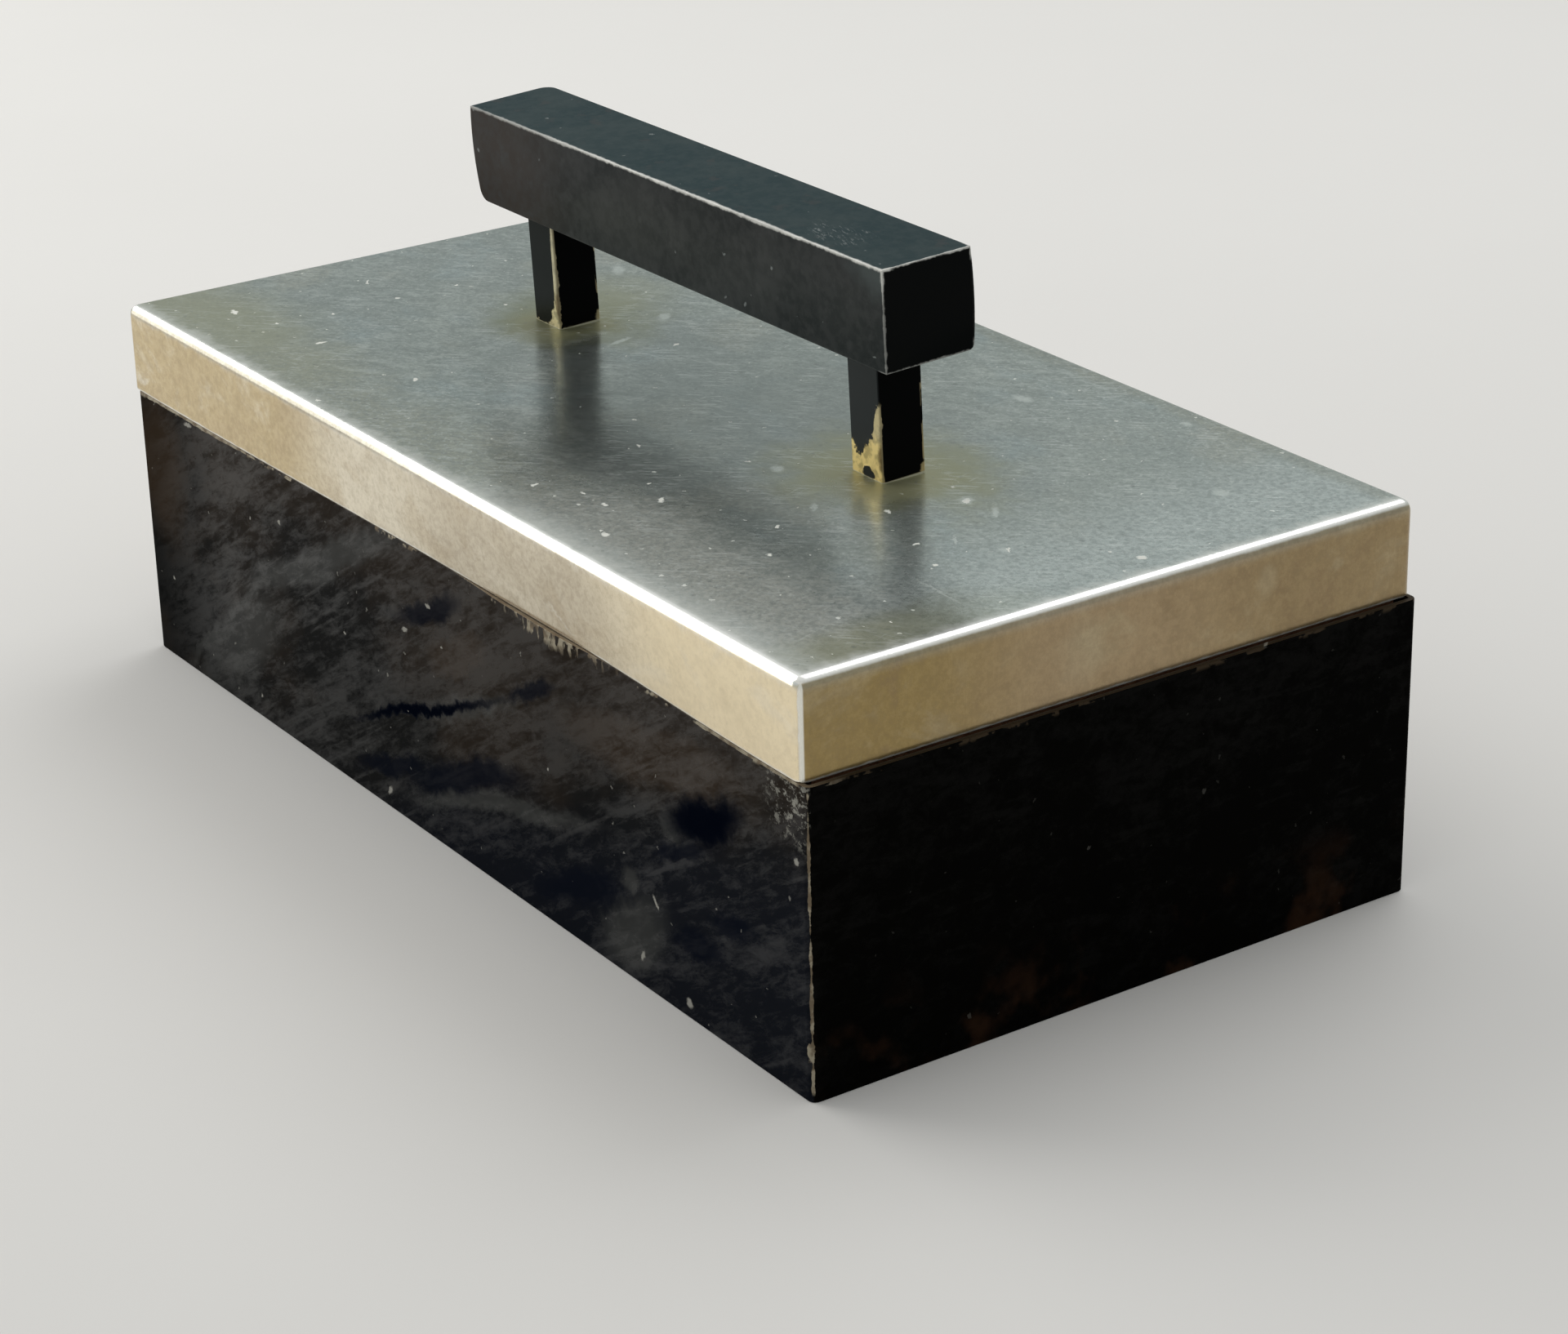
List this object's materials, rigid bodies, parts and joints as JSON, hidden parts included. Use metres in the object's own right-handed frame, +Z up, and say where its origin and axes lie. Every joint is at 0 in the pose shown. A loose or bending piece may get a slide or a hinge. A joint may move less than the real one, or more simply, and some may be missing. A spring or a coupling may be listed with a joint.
{
  "type": "silverware chest",
  "caption": "Low rectangular metal chest with lengthwise cloth-lined bays and a loose lift-off lid carrying a square bar handle.",
  "frame": {"origin": "centre of the case's underside, where it rests", "axes": "+X along the long side, to the right seen from the front; +Y from the front to the back; +Z up, the way the lid lifts"},
  "size_m": [0.2577, 0.138, 0.1255],
  "materials": {
    "nickel": "satin nickel-silver sheet, aged, with tarnish round the handle posts",
    "black_lacquer": "gloss black lacquer on brass sheet, chipped to the metal at edges and corners",
    "handle_lacquer": "satin black lacquer, worn along the edges",
    "worn_lacquer": "satin black lacquer worn through to brass",
    "raw_brass": "dull",
    "steel": "plain",
    "lining_wood": "waxed",
    "lining_cloth": "napped flannel",
    "baize": "baize"
  },
  "bodies": {
    "case": {"case_wall": "black_lacquer", "base_plate": "raw_brass", "base_baize": "baize", "lining_front": "lining_wood", "lining_back": "lining_wood", "lining_left_end": "lining_wood", "lining_right_end": "lining_wood", "lining_floor": "lining_wood", "floor_cloth": "lining_cloth", "front_cloth": "lining_cloth", "back_cloth": "lining_cloth", "left_cloth": "lining_cloth", "right_cloth": "lining_cloth", "divider_front": "lining_wood", "divider_back": "lining_wood", "divider_front_cloth": "lining_cloth", "divider_back_cloth": "lining_cloth"},
    "lid": {"lid_shell": "nickel", "lid_lining_board": "lining_wood", "lid_lining_cloth": "lining_cloth", "handle_bar": "handle_lacquer", "handle_post_left": "worn_lacquer", "handle_post_right": "worn_lacquer", "handle_screws": "steel", "handle_washers": "raw_brass"}
  },
  "joints": [
    {"name": "lid_lift", "type": "slide", "parent": "case", "child": "lid", "axis": [0, 0, 1], "range_m": [0, 0.1]}
  ]
}
